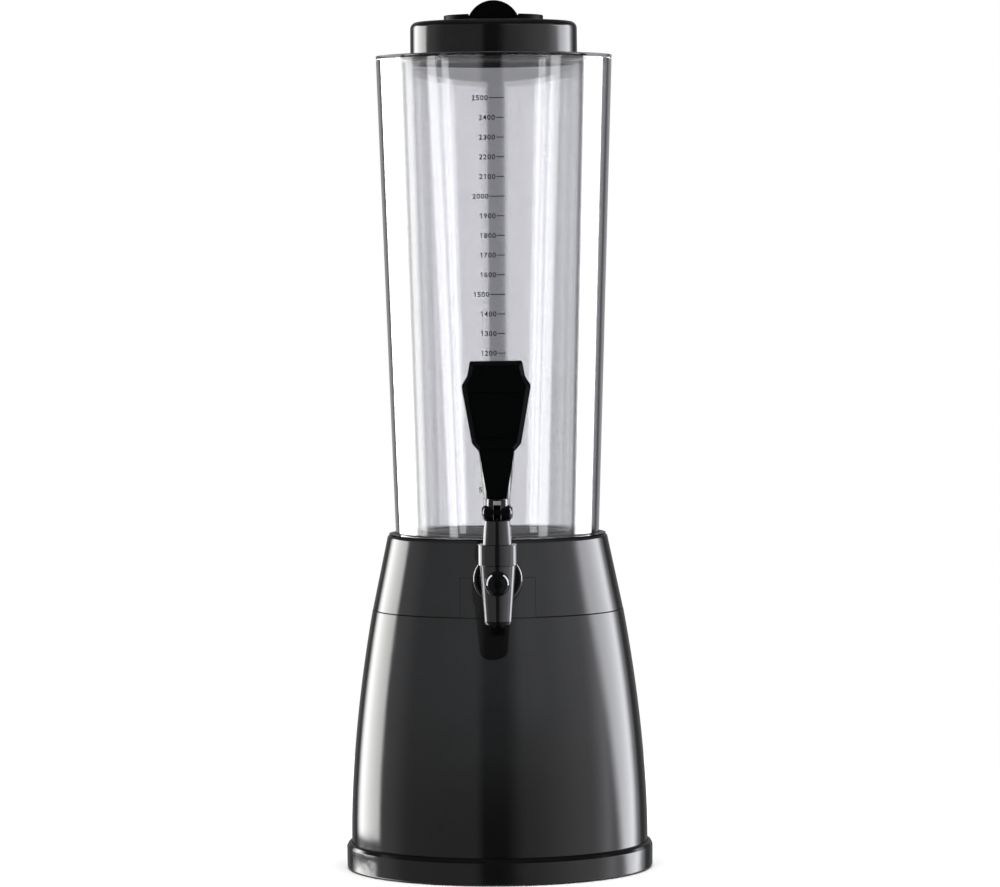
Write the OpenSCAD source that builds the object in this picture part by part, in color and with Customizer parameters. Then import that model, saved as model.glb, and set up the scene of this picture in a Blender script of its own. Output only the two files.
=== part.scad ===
// Table drink tower: a clear double-walled column on a flared base, with a
// lever tap at the front and a lift-off lid with a rotary vent.
// Millimetres. +Z up, origin on the column axis at table level, tap towards -Y.

/* [Base] */
// Outer radius of the foot ring
foot_r = 93.9; // [92.5:0.1:96]
// Height of the foot ring's upright wall
foot_h = 14.2; // [13:0.1:15]
// Outer radius of the pedestal where it meets the foot ring
pedestal_r = 90.8; // [88:0.1:91]
// Height of the seam between pedestal and collar
seam_z = 158.8; // [156:0.1:160]
// Outer radius at the seam
seam_r = 76.8; // [76:0.1:78]
// How fast the pedestal curves inwards
pedestal_curve = 1.8; // [1.5:0.05:2.2]
// Wall thickness of the moulded base shells
base_wall = 2.7; // [2.2:0.1:3]

/* [Collar] */
// Top of the collar around the column
collar_top_z = 205.9; // [205:0.1:207]
// Inward lean of the collar wall per millimetre of height
collar_lean = 0.2106; // [0.18:0.0001:0.22]
// Half width of the filler panel under the tap
panel_half = 22.5; // [18:0.1:26]

/* [Column] */
// Top of the outer clear shell
shell_top_z = 496.8; // [494:0.1:500]
// Outer radius of the clear shell at its top
shell_top_r = 72.0; // [71:0.1:73]
// Outward lean of the clear shell per millimetre of height
shell_lean = 0.03365; // [0.03:0.0001:0.036]
// Wall thickness of the clear shell
shell_wall = 2.6; // [2:0.1:3]
// Outer radius of the inner vessel at z = 208
vessel_r0 = 48.76; // [48:0.01:49]
// Outward lean of the inner vessel per millimetre of height
vessel_lean = 0.02593; // [0.024:0.00001:0.027]
// Wall thickness of the inner vessel
vessel_wall = 2.2; // [1.8:0.1:2.4]

/* [Lid] */
// Radius of the lid's flange
lid_flange_r = 57.0; // [56:0.1:57.1]
// Radius of the lid's drum
lid_drum_r = 50.85; // [49:0.05:51.5]
// Top of the lid's drum
lid_top_z = 517.3; // [515:0.1:520]
// Radius of the vent knob's disc
knob_r = 30.3; // [28:0.1:32]
// Radius of the knob's half-round grip
grip_r = 16.45; // [15:0.05:17]

/* [Tap] */
// Distance of the tap's upright axis in front of the column axis
tap_out = 108; // [106:0.5:112]
// Height of the shank's axis
shank_z = 182.5; // [182:0.1:183]
// Outer radius of the shank
shank_r = 8.0; // [7.5:0.1:8]
// Radius of the round flange on the collar
flange_r = 14.75; // [13:0.05:16]
// Lift of the valve rod per radian of handle tilt
cam_offset = 4.0; // [3:0.1:4.5]
// Radius of the hinge knuckle
knuckle_r = 4.45; // [4:0.05:4.6]
// Radius of the hinge pin
pin_r = 1.5; // [1.2:0.1:1.8]

/* [Handle] */
// Top of the handle
handle_top_z = 313.6; // [305:0.1:320]
// Half width of the handle at its widest
handle_half = 20.5; // [18:0.1:22]
// Depth of the paddle from front to back
handle_depth = 13; // [11:0.5:15]

/* [Hidden] */

$fn = 96;
e = 0.01;
tap_y = -tap_out;
// Radii of the conical walls at height z
function collar_r(z) = seam_r - 0.1 - collar_lean * (z - seam_z);
function shell_r(z) = shell_top_r - shell_lean * (shell_top_z - z);
function vessel_r(z) = vessel_r0 + vessel_lean * (z - 208);
function pedestal_rad(z) = z <= 20 ? pedestal_r
    : pedestal_r - (pedestal_r - seam_r)
      * pow((z - 20) / (seam_z - 20), pedestal_curve);
// Points of an arc in a profile
function arc(cx, cy, r, a0, a1, n) =
    [for (i = [0:n]) let (a = a0 + (a1 - a0) * i / n)
        [cx + r * cos(a), cy + r * sin(a)]];
function rev(v) = [for (i = [len(v) - 1:-1:0]) v[i]];

shell_base_z = 196;             // the clear shell stands on the collar's shelf
deck_z = 188;                   // underside of the collar's inner deck
seat_z = shell_top_z - 2.2;     // lid flange rests here
plug_z = 491.2;                // bottom of the lid's plug
bonnet_top = 219.6;
pin_z = bonnet_top + knuckle_r + 0.05;
screw_r = 61;                   // pitch radius of the collar screws
foot_screw_r = 74;              // pitch radius of the base screws
knuckle_half = 9.15;            // half length of the knuckle
slot_half = 2.35;               // half width of the fork's slot

// Lathe a profile given as [radius, height] points
module turned(p) { rotate_extrude() polygon(p); }
// A straight cylinder along Y, from y0 to y1, at height z
module along_y(y0, y1, z, r, x = 0) {
    translate([x, y0, z]) rotate([-90, 30, 0]) cylinder(h = y1 - y0, r = r);
}
// A lathed profile, [radius, distance], along -Y from the point [0, y, z]
module turned_y(y, z, p) {
    translate([0, y, z]) rotate([90, 0, 0]) rotate_extrude() polygon(p);
}
// The space inside the collar's outer wall, moved in or out by off
module collar_core(off, z0 = 150, z1 = 215) {
    translate([0, 0, z0])
        cylinder(h = z1 - z0, r1 = collar_r(z0) + off,
                 r2 = collar_r(z1) + off, $fn = 180);
}
// A pan-head screw, head down, from the head's face at [0, 0, 0] upwards
module pan_screw(head_r, head_h, r, len) {
    difference() {
        union() {
            cylinder(h = head_h, r1 = head_r - 0.7, r2 = head_r, $fn = 48);
            translate([0, 0, head_h - e]) cylinder(h = len, r = r, $fn = 32);
        }
        for (a = [0, 90]) rotate([0, 0, a])
            translate([-head_r * 0.55, -0.5, -1])
                cube([head_r * 1.1, 1, 1 + head_h * 0.5]);
    }
}

// ---------------------------------------------------------------- base

module non_slip_ring() {
    color([0.10, 0.10, 0.10])
        turned([[78.3, 0], [88.7, 0], [88.9, 0.3], [88.9, 2.6],
                [78.1, 2.6], [78.1, 0.3]]);
}

module foot_ring() {
    f = foot_r;
    color([0.06, 0.06, 0.07]) difference() {
        turned(concat(
            [[69, 0.7], [78, 0.7], [78, 2.6], [89, 2.6], [89, 0.7],
             [f - 0.6, 0.7], [f, 1.3], [f, foot_h - 0.6]],
            arc(f - 2.6, foot_h - 0.6, 2.6, 12, 72, 5),
            [[f - 2.4, foot_h + 2.2], [pedestal_r + 0.25, foot_h + 2.2],
             [pedestal_r + 0.25, 8], [86.5, 8], [86.5, 5], [69, 5]]));
        for (a = [45:90:315]) rotate([0, 0, a]) translate([foot_screw_r, 0, 0]) {
            translate([0, 0, -1]) cylinder(h = 10, r = 2.3, $fn = 32);
            translate([0, 0, -1]) cylinder(h = 4.6, r = 4.4, $fn = 48);
        }
    }
}

module base_plate() {
    color([0.16, 0.16, 0.17]) difference() {
        turned([[0, 0.75], [68.6, 0.75], [68.6, 5.05], [84, 5.05], [84, 7.6],
                [66.2, 7.6], [66.2, 3.4], [0, 3.4]]);
        for (a = [45:90:315]) rotate([0, 0, a]) translate([foot_screw_r, 0, 0])
            cylinder(h = 20, r = 2.3, $fn = 32);
    }
}

module base_screws() {
    color([0.55, 0.56, 0.58])
        for (a = [45:90:315]) rotate([0, 0, a])
            translate([foot_screw_r, 0, 1.0]) pan_screw(3.9, 2.6, 1.95, 18);
}

module pedestal_shell() {
    w = base_wall;
    n = 26;
    zs = [for (i = [0:n]) 20 + (seam_z - 0.15 - 20) * i / n];
    outer = [for (z = zs) [pedestal_rad(z), z]];
    inner = [for (z = rev(zs)) if (z < seam_z - 8) [pedestal_rad(z) - w, z]];
    color([0.07, 0.07, 0.08]) difference() {
        union() {
            turned(concat([[pedestal_r, 8]], outer,
                // the spigot that the collar slips over, and the inner flange
                [[72.8, seam_z - 0.15], [72.8, 162.6], [72.3, 163.1],
                 [71.0, 163.1], [71.0, 158.7], [56, 158.7], [56, 155.7],
                 [73.2, 155.7], [73.9, 152]],
                inner, [[pedestal_r - w, 8]]));
            for (a = [45:90:315]) rotate([0, 0, a]) {
                translate([foot_screw_r, 0, 8]) cylinder(h = 22, r = 4.6, $fn = 48);
                translate([foot_screw_r + 3, -1.2, 8])
                    cube([pedestal_r - w - foot_screw_r - 2.2, 2.4, 18]);
            }
            // upright stiffening ribs
            for (a = [0:90:270]) rotate([0, 0, a])
                translate([0, 1.1, 0]) rotate([90, 0, 0])
                    linear_extrude(height = 2.2) polygon(concat(
                        [for (z = [30:20:150]) [pedestal_rad(z) - w + 0.8, z]],
                        [for (z = [150:-20:30]) [pedestal_rad(z) - w - 5, z]]));
        }
        for (a = [45:90:315]) rotate([0, 0, a]) {
            translate([foot_screw_r, 0, 7]) cylinder(h = 18, r = 1.97, $fn = 32);
            translate([screw_r, 0, 150]) cylinder(h = 12, r = 2.2, $fn = 32);
        }
    }
}

// ---------------------------------------------------------------- collar

module collar_shell() {
    w = base_wall;
    t = collar_top_z;
    color([0.07, 0.07, 0.08]) difference() {
        union() {
            difference() {
                // outer wall with its rounded shoulder
                turned(concat(
                    [[collar_r(seam_z + 0.15) - w, seam_z + 0.15],
                     [collar_r(seam_z + 0.15), seam_z + 0.15],
                     [collar_r(t - 3.6), t - 3.6]],
                    arc(collar_r(t - 3.6) - 2.55, t - 3.3, 2.55, 2, 62, 7),
                    [[64.6, t - 0.35], [63.4, t], [62.75, t], [62.5, t - 0.25],
                     [62.5, 196], [collar_r(196) - w, 196]]));
            }
            // shelf and deck inside, open at the front for the outlet boss
            difference() {
                turned([[47.9, deck_z], [collar_r(deck_z) - w + 0.6, deck_z],
                        [collar_r(196) - w + 0.6, 196], [56, 196], [54, 194.2],
                        [53.4, 194.2], [53.4, deck_z + 3], [47.9, deck_z + 3]]);
                translate([-12, -76, 170]) cube([24, 40, 40]);
            }
            // posts for the screws
            for (a = [45:90:315]) rotate([0, 0, a])
                translate([screw_r, 0, seam_z + 0.05])
                    cylinder(h = deck_z - seam_z + 0.5, r = 4.6, $fn = 48);
        }
        // opening for the filler panel
        translate([-panel_half - 0.15, -90, seam_z - 3])
            cube([2 * panel_half + 0.3, 30, shank_z - seam_z + 3.15]);
        along_y(-90, -60, shank_z, shank_r + 0.3);
        for (a = [45:90:315]) rotate([0, 0, a])
            translate([screw_r, 0, 150]) cylinder(h = 24, r = 1.97, $fn = 32);
    }
}

module collar_screws() {
    color([0.55, 0.56, 0.58])
        for (a = [45:90:315]) rotate([0, 0, a])
            translate([screw_r, 0, 153.0]) pan_screw(3.8, 2.7, 1.95, 15);
}

module tap_panel() {
    w = base_wall;
    color([0.07, 0.07, 0.08]) difference() {
        union() {
            intersection() {
                difference() { collar_core(0); collar_core(-w); }
                translate([-panel_half, -90, seam_z + 0.15])
                    cube([2 * panel_half, 40, shank_z - seam_z - 0.15]);
            }
            // snap tabs behind the collar wall
            intersection() {
                difference() { collar_core(-w - 0.25); collar_core(-w - 2.2); }
                for (s = [-1, 1]) translate([s * panel_half - 4, -90, 165])
                    cube([8, 40, 14]);
            }
            intersection() {
                difference() { collar_core(-w + 0.6); collar_core(-w - 1.6); }
                for (s = [-1, 1]) translate([s * (panel_half - 2.1) - 1.6, -90, 167])
                    cube([3.2, 40, 10]);
            }
        }
        along_y(-90, -60, shank_z, shank_r + 0.3);
    }
}

// ---------------------------------------------------------------- column

module sump_cup() {
    color([0.09, 0.09, 0.10]) difference() {
        union() {
            turned(concat([[0, 165.4], [44.6, 165.4]],
                arc(44.6, 167.4, 2, -80, 0, 4),
                [[46.6, 191.05], [52.9, 191.05], [52.9, 194], [51.8, 194.2],
                 [51.8, 201.8], [51.4, 202.2], [49.0, 202.2], [49.0, 194],
                 [45.8, 194], [45.8, 205.4], [45.4, 205.8], [43.4, 205.8],
                 [43.4, 170], [41.4, 168], [0, 168]]));
            // outlet boss between the cup and the collar wall
            intersection() {
                along_y(-75, -45, shank_z, 11.4);
                collar_core(-base_wall - 0.3);
            }
            // flat pad for the nut inside
            intersection() {
                along_y(-45, -41, shank_z, 13.2);
                translate([0, 0, 166]) cylinder(h = 40, r = 45);
            }
        }
        along_y(-80, -35, shank_z, shank_r + 0.15);
    }
}

module vessel_gasket() {
    color([0.05, 0.05, 0.05])
        turned([[46.1, 194.02], [48.7, 194.02], [48.7, 195.9], [46.1, 195.9]]);
}

module inner_vessel() {
    w = vessel_wall;
    b = 195.95;
    st = shell_top_z;
    color([0.86, 0.88, 0.93, 0.35]) turned(concat(
        [[vessel_r(b) - w, b], [vessel_r(b), b], [vessel_r(seat_z - 2), seat_z - 2],
         [59.4, seat_z - 2], [59.4, st - 1.9], [68.9, st - 1.9],
         [69.2, st - 1.6], [69.2, st - 0.3], [68.9, st], [57.8, st],
         [57.4, st - 0.4], [57.4, seat_z],
         [vessel_r(seat_z - 2) - w + 0.4, seat_z],
         [vessel_r(seat_z - 2) - w, seat_z - 0.6]]));
}

module outer_shell() {
    w = shell_wall;
    b = shell_base_z + 0.05;
    st = shell_top_z;
    color([0.90, 0.92, 0.96, 0.30]) turned(
        [[shell_r(b) - w, b], [shell_r(b), b],
         [shell_r(st - 0.6), st - 0.6], [shell_r(st) - 0.5, st],
         [69.75, st], [69.4, st - 0.4], [69.4, st - 1.95], [67.6, st - 1.95],
         [67.4, st - 3.2], [shell_r(st - 5) - w, st - 5]]);
}

// ---------------------------------------------------------------- tap

module tap_flange() {
    color([0.10, 0.10, 0.11]) difference() {
        turned_y(-60, shank_z, concat([[shank_r + 0.05, 0], [flange_r, 0]],
            arc(flange_r - 1.6, 17.6, 1.6, 0, 90, 6),
            [[shank_r + 0.05, 19.2]]));
        collar_core(0.8);
    }
}

module flange_gasket() {
    color([0.12, 0.12, 0.12]) difference() {
        intersection() {
            along_y(-85, -55, shank_z, flange_r - 1.0);
            difference() { collar_core(0.75); collar_core(0.05); }
        }
        along_y(-90, -50, shank_z, shank_r + 0.05);
    }
}

module tap_shank() {
    color([0.14, 0.14, 0.15])
        turned_y(-31, shank_z, [[4.5, 0], [shank_r - 0.8, 0],
            [shank_r - 0.03, 0.8], [shank_r - 0.03, 59.9], [6.5, 59.9],
            [6.5, 69], [4.5, 69]]);
}

module sump_washer() {
    color([0.12, 0.12, 0.12]) difference() {
        along_y(-40.98, -39.4, shank_z, 12.6);
        along_y(-42, -38, shank_z, shank_r + 0.05);
    }
}

module shank_nut() {
    color([0.16, 0.16, 0.17]) difference() {
        translate([0, -39.35, shank_z]) rotate([-90, 0, 0]) union() {
            cylinder(h = 6, r = 12.6, $fn = 6);
            cylinder(h = 1.2, r = 12.4, $fn = 64);
        }
        along_y(-41, -32, shank_z, shank_r + 0.05);
    }
}

module tap_body() {
    h0 = 157.8;
    color([0.11, 0.11, 0.12]) difference() {
        union() {
            translate([0, tap_y, 0]) turned([[0, h0], [7.5, h0], [8.05, h0 + 0.5],
                [8.2, h0 + 1.6], [10.78, 192.8], [9.5, 192.8], [9.5, 198.9],
                [9.2, 199.2], [0, 199.2]]);
            // rear boss that takes the shank
            turned_y(-91, shank_z, [[0, 0], [8.2, 0], [8.8, 0.6], [8.8, 14], [0, 14]]);
            // front boss with its bezel
            turned_y(tap_y, shank_z, [[0, 0], [7.55, 0], [7.55, 11.2],
                [7.1, 11.65], [0, 11.65]]);
        }
        translate([0, tap_y, 0]) {
            translate([0, 0, 172]) cylinder(h = 30, r = 7);
            translate([0, 0, 150]) cylinder(h = 30, r = 4.5);
            translate([0, 0, 150]) cylinder(h = 18, r = 6.3);
        }
        along_y(-100.05, -80, shank_z, 6.55);
        along_y(-106, -80, shank_z, 4.5);
        along_y(tap_y - 20, tap_y - 8.6, shank_z, 6.0);
    }
}

module front_cap() {
    color([0.05, 0.05, 0.05])
        turned_y(tap_y - 8.65, shank_z, concat([[0, 0], [5.95, 0], [5.95, 3.05],
            [6.7, 3.05], [6.7, 3.9]],
            arc(0, -6.55, 12.5, 57.6, 85, 6), [[0.6, 5.95], [0, 5.95]]));
}

module bonnet_seal() {
    color([0.75, 0.20, 0.16])
        translate([0, tap_y, 0]) turned([[7.2, 199.22], [9.2, 199.22],
            [9.2, 199.98], [7.2, 199.98]]);
}

module bonnet() {
    color([0.11, 0.11, 0.12]) translate([0, tap_y, 0]) difference() {
        turned([[0, 194], [6.5, 194], [6.85, 194.4], [6.85, 200], [9.3, 200],
                [9.3, 203], [8.8, 203.05], [8.8, 205.4],
                [7.75, bonnet_top - 0.5], [7.3, bonnet_top], [0, bonnet_top]]);
        translate([0, 0, 190]) cylinder(h = 22, r = 5.2);
        translate([0, 0, 190]) cylinder(h = 24.2, r = 4.3);
        translate([0, 0, 190]) cylinder(h = 40, r = 2.55);
    }
}

module collar_nut() {
    color([0.11, 0.11, 0.12]) translate([0, tap_y, 0])
        turned([[9.55, 192.85], [11.2, 192.85], [11.6, 193.3], [11.6, 204.7],
                [11.3, 205.2], [8.95, 205.4], [8.95, 203.3], [9.55, 203.1]]);
}

module stem_o_ring() {
    color([0.75, 0.20, 0.16]) translate([0, tap_y, 213.1])
        rotate_extrude() translate([3.4, 0]) circle(r = 0.82, $fn = 32);
}

// A coil swept as one closed tube: c coil radius, w wire radius
module coil(c, w, z0, z1, turns, per, sides) {
    n = turns * per;
    pts = [for (i = [0:n]) let (a = 360 * i / per, z = z0 + (z1 - z0) * i / n)
           for (j = [0:sides - 1]) let (b = 360 * j / sides)
               [(c + w * cos(b)) * cos(a), (c + w * cos(b)) * sin(a),
                z + w * sin(b)]];
    faces = concat(
        [[for (j = [0:sides - 1]) j]],
        [for (i = [0:n - 1], j = [0:sides - 1])
            [i * sides + j, (i + 1) * sides + j,
             (i + 1) * sides + (j + 1) % sides, i * sides + (j + 1) % sides]],
        [[for (j = [sides - 1:-1:0]) n * sides + j]]);
    polyhedron(points = pts, faces = faces, convexity = 10);
}

module valve_spring() {
    color([0.70, 0.71, 0.73]) translate([0, tap_y, 0])
        coil(4.1, 0.45, 184.55, 211.45, 8, 14, 8);
}

module valve_rod() {
    color([0.62, 0.63, 0.65]) translate([0, tap_y, 0]) difference() {
        union() {
            translate([0, 0, 174.1]) cylinder(h = 43.3, r = 2.5);
            intersection() {
                translate([0, 0, 217]) cylinder(h = pin_z - 217, r = 2.5);
                translate([-2.2, -5, 216]) cube([4.4, 10, 20]);
            }
            translate([-2.2, 0, pin_z]) rotate([0, 90, 0]) cylinder(h = 4.4, r = 4.25);
            translate([0, 0, 182.6]) cylinder(h = 1.4, r = 4.9);
        }
        translate([-5, 0, pin_z]) rotate([0, 90, 0]) cylinder(h = 10, r = pin_r + 0.04);
    }
}

module valve_seal() {
    color([0.85, 0.85, 0.83]) translate([0, tap_y, 0])
        turned([[0, 172.05], [5.9, 172.05], [6.2, 172.4], [6.2, 174.4],
                [4.2, 178.6], [2.52, 178.6], [2.52, 174.05], [0, 174.05]]);
}

module lever_fork() {
    c = cam_offset;
    color([0.11, 0.11, 0.12]) translate([0, tap_y, pin_z]) difference() {
        union() {
            // knuckle: a barrel on the pin and the cam lobe in front of it
            for (s = [0, -c]) translate([-knuckle_half, s, 0]) rotate([0, 90, 0])
                rotate_extrude() polygon(concat([[0, 0]],
                    arc(knuckle_r - 1.7, 1.7, 1.7, -90, 0, 5),
                    arc(knuckle_r - 1.7, 2 * knuckle_half - 1.7, 1.7, 0, 90, 5),
                    [[0, 2 * knuckle_half]]));
            translate([-knuckle_half + 1.7, -c, -knuckle_r])
                cube([2 * (knuckle_half - 1.7), c, 2 * knuckle_r]);
            // round stem above it
            translate([0, 0, 1.6]) cylinder(h = 6.6, r = 8.0);
            // stud into the handle
            translate([0, 0, 8]) cylinder(h = 26, r = 4.0, $fn = 48);
        }
        // slot for the valve rod's head
        translate([-slot_half, -20, -20]) cube([2 * slot_half, 40, 20 + 7.1]);
        translate([-20, 0, 0]) rotate([0, 90, 0]) cylinder(h = 40, r = pin_r + 0.02);
    }
}

module pivot_pin() {
    color([0.70, 0.71, 0.73]) translate([-knuckle_half + 0.6, tap_y, pin_z])
        rotate([0, 90, 0]) cylinder(h = 2 * knuckle_half - 1.2, r = pin_r);
}

// Outline of the paddle, seen from the front, as [half width, height]
hz = handle_top_z;
paddle = [[15.4, hz], [17.2, hz - 9.3], [handle_half, hz - 14.6],
          [14.5, hz - 48.8], [10.8, hz - 53]];
module paddle_plate(inset, y0, y1) {
    p = [for (v = paddle) [v[0] - inset, v[1]]];
    translate([0, y1, 0]) rotate([90, 0, 0]) linear_extrude(height = y1 - y0)
        polygon(concat(
            [[p[0][0] - 1.6, hz - inset], [p[0][0] - 0.4, hz - 0.6 - inset],
             [p[0][0] + 0.1, hz - 1.8 - inset], p[1], p[2], p[3], p[4]],
            [for (v = rev([p[1], p[2], p[3], p[4]])) [-v[0], v[1]]],
            [[-p[0][0] - 0.1, hz - 1.8 - inset], [-p[0][0] + 0.4, hz - 0.6 - inset],
             [-p[0][0] + 1.6, hz - inset]]));
}

module handle() {
    d = handle_depth / 2;
    w = 11.3;
    z0 = pin_z + 8.25;
    color([0.05, 0.05, 0.055]) difference() {
        union() {
            // bevelled paddle in two halves
            translate([0, tap_y, 0]) {
                hull() { paddle_plate(0, -d + 2.2, -d + 3.4);
                         paddle_plate(2.2, -d, -d + 0.5); }
                paddle_plate(0, -d + 2.6, d - 2.6);
                hull() { paddle_plate(0, d - 3.4, d - 2.2);
                         paddle_plate(2.2, d - 0.5, d); }
                // stem: flat-sided above, round below
                hull() {
                    translate([-10.8, -5.6, hz - 53.4]) cube([21.6, 11.2, 0.4]);
                    translate([0, 0, z0 + 14]) cylinder(h = 0.1, r = 8.9, $fn = 32);
                }
                hull() {
                    translate([0, 0, z0 + 13.9]) cylinder(h = 0.2, r = 8.9, $fn = 32);
                    translate([0, 0, z0]) cylinder(h = 0.1, r = 8.0, $fn = 32);
                }
                hull() {
                    translate([-10.8, -5.6, hz - 53.5]) cube([21.6, 11.2, 1]);
                    translate([-13.5, -d + 2.4, hz - 48]) cube([27, 2 * d - 4.8, 1]);
                }
            }
        }
        // socket for the fork's stud
        translate([0, tap_y, z0 - 1]) cylinder(h = 27.2, r = 4.05, $fn = 48);
        // recess for the front insert
        translate([0, tap_y, 0]) insert_plate(0, -d - 1, -d + 0.8);
    }
}

module insert_plate(inset, y0, y1) {
    i = inset;
    translate([0, y1, 0]) rotate([90, 0, 0]) linear_extrude(height = y1 - y0)
        polygon([[-16.4 + i, hz - 18.2 - i], [16.4 - i, hz - 18.2 - i],
                 [11.6 - i, hz - 45.6 + i], [-11.6 + i, hz - 45.6 + i]]);
}

module handle_insert() {
    d = handle_depth / 2;
    color([0.04, 0.04, 0.045]) translate([0, tap_y, 0])
        insert_plate(0.15, -d + 0.25, -d + 0.78);
}

// ---------------------------------------------------------------- lid

module lid_shell() {
    t = lid_top_z;
    f = seat_z + 2.75;      // top of the flange
    color([0.05, 0.05, 0.055]) difference() {
        turned(concat(
            [[50.0, plug_z], [52.2, plug_z], [52.4, plug_z + 0.2],
             [52.4, 492.0], [51.4, 492.0], [51.4, 494.0], [52.4, 494.0],
             [52.4, seat_z + 0.05], [lid_flange_r - 0.3, seat_z + 0.05],
             [lid_flange_r, seat_z + 0.35], [lid_flange_r, f - 0.4],
             [lid_flange_r - 0.4, f]],
            rev(arc(lid_drum_r + 1.0, f + 1.0, 1.0, 180, 270, 4)),
            arc(lid_drum_r - 3.8, t - 3.8, 3.8, 0, 82, 8),
            [[44, t], [0, t], [0, t - 2.6], [47.5, t - 2.6],
             [48.4, t - 3.5], [48.4, seat_z + 4], [49.4, seat_z + 2.4],
             [49.4, plug_z + 0.6]]));
        // bore for the knob's stem, and the vent hole
        translate([0, 0, 500]) cylinder(h = 30, r = 5.06);
        translate([-18, 0, 500]) cylinder(h = 30, r = 2.2, $fn = 32);
    }
}

module lid_seal() {
    color([0.05, 0.05, 0.05])
        turned([[51.45, 492.05], [52.5, 492.05], [53.35, 492.7],
                [53.35, 493.1], [52.6, 493.5], [52.5, 493.95], [51.45, 493.95]]);
}

module vent_knob() {
    z0 = lid_top_z + 0.08;
    top = lid_top_z + 3.9;
    gz = top + 9.3 - grip_r;      // centre of the half-round grip
    color([0.05, 0.05, 0.055]) difference() {
        union() {
            difference() {
                turned([[0, z0], [knob_r - 0.3, z0], [knob_r, z0 + 0.3],
                        [knob_r, top - 0.4], [knob_r - 0.4, top], [0, top]]);
                // finger scoops before and behind the grip
                for (y0 = [-40, 3.6]) translate([0, y0, top])
                    rotate([90, 0, 0]) mirror([0, 0, 1])
                        linear_extrude(height = 36.4) polygon(concat(
                            [for (a = [90:-15:0])
                                [10.7 + 4.3 * sin(a), -3.1 * cos(a)]],
                            [for (a = [0:15:90])
                                [-10.7 - 4.3 * sin(a), -3.1 * cos(a)]],
                            [[-15, 1], [15, 1]]));
            }
            intersection() {
                translate([0, -3.6, gz]) rotate([-90, 0, 0])
                    cylinder(h = 7.2, r = grip_r, $fn = 128);
                translate([-20, -5, z0 + 0.3]) cube([40, 10, 20]);
            }
            translate([0, 0, 512.2]) cylinder(h = z0 - 512.2 + 0.5, r = 5.0);
        }
        translate([0, 0, 511]) cylinder(h = 8.2, r = 1.97, $fn = 32);
        // vent groove under the disc, open at its rim
        translate([-2, 12, z0 - 1]) cube([4, 30, 2.2]);
    }
}

module knob_screw() {
    color([0.60, 0.61, 0.63])
        translate([0, 0, 509.6]) pan_screw(7.2, 2.55, 1.95, 6.4);
}

non_slip_ring();
foot_ring();
base_plate();
base_screws();
pedestal_shell();
collar_shell();
collar_screws();
tap_panel();
sump_cup();
vessel_gasket();
inner_vessel();
outer_shell();
tap_flange();
flange_gasket();
tap_shank();
sump_washer();
shank_nut();
tap_body();
front_cap();
bonnet_seal();
bonnet();
collar_nut();
stem_o_ring();
valve_spring();
valve_rod();
valve_seal();
lever_fork();
pivot_pin();
handle();
handle_insert();
lid_shell();
lid_seal();
vent_knob();
knob_screw();
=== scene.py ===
# Looks for the table drink tower: finely lathed shells, clear column, tap and
# paddle handle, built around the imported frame. Sizes below are millimetres.
import bmesh
import bpy
import math
from mathutils import Matrix, Vector


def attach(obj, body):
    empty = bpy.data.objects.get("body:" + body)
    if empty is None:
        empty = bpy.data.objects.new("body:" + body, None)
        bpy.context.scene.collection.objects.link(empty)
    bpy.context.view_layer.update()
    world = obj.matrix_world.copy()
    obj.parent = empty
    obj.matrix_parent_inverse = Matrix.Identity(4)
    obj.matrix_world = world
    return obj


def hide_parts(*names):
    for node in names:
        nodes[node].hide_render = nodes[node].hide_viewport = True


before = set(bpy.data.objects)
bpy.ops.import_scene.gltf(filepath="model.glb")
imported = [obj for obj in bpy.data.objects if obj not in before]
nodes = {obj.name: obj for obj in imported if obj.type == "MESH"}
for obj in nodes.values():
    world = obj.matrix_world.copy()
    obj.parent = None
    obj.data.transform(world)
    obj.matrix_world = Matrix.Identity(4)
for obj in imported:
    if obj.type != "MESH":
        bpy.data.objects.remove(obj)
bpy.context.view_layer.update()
MM = 0.001
TAP_Y = -108.0
SHANK_Z = 182.5
PIN_Z = 224.1

# ------------------------------------------------------------------ dimensions


def collar_r(z):
    return 76.7 - 0.2106 * (z - 158.8)


def shell_r(z):
    return 72.0 - 0.03365 * (496.8 - z)


def vessel_r(z):
    return 48.76 + 0.02593 * (z - 208)


def pedestal_r(z):
    return 90.8 if z <= 20 else 90.8 - 14.0 * ((z - 20) / 138.8) ** 1.8


# ------------------------------------------------------------------ mesh tools


def rounded(pts):
    """A closed outline of (r, z) or (r, z, radius) points, those corners rounded."""
    out, m = [], len(pts)
    for i, p in enumerate(pts):
        f = p[2] if len(p) > 2 else 0
        a, b, c = (Vector(pts[i - 1][:2]), Vector(p[:2]), Vector(pts[(i + 1) % m][:2]))
        u, v = a - b, c - b
        if f <= 0 or u.length < 1e-6 or v.length < 1e-6:
            out.append((b.x, b.y))
            continue
        ang = u.angle(v)
        if ang > math.pi - 0.02:
            out.append((b.x, b.y))
            continue
        t = min(f / math.tan(ang / 2), 0.49 * u.length, 0.49 * v.length)
        f = t * math.tan(ang / 2)
        u.normalize()
        v.normalize()
        k = b + (u + v).normalized() * (f / math.sin(ang / 2))
        s, e = b + u * t - k, b + v * t - k
        a0 = math.atan2(s.y, s.x)
        d = (math.atan2(e.y, e.x) - a0 + math.pi) % (2 * math.pi) - math.pi
        n = max(3, int(abs(d) / math.radians(15)))
        for j in range(n + 1):
            out.append((k.x + f * math.cos(a0 + d * j / n), k.y + f * math.sin(a0 + d * j / n)))
    return out


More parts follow.
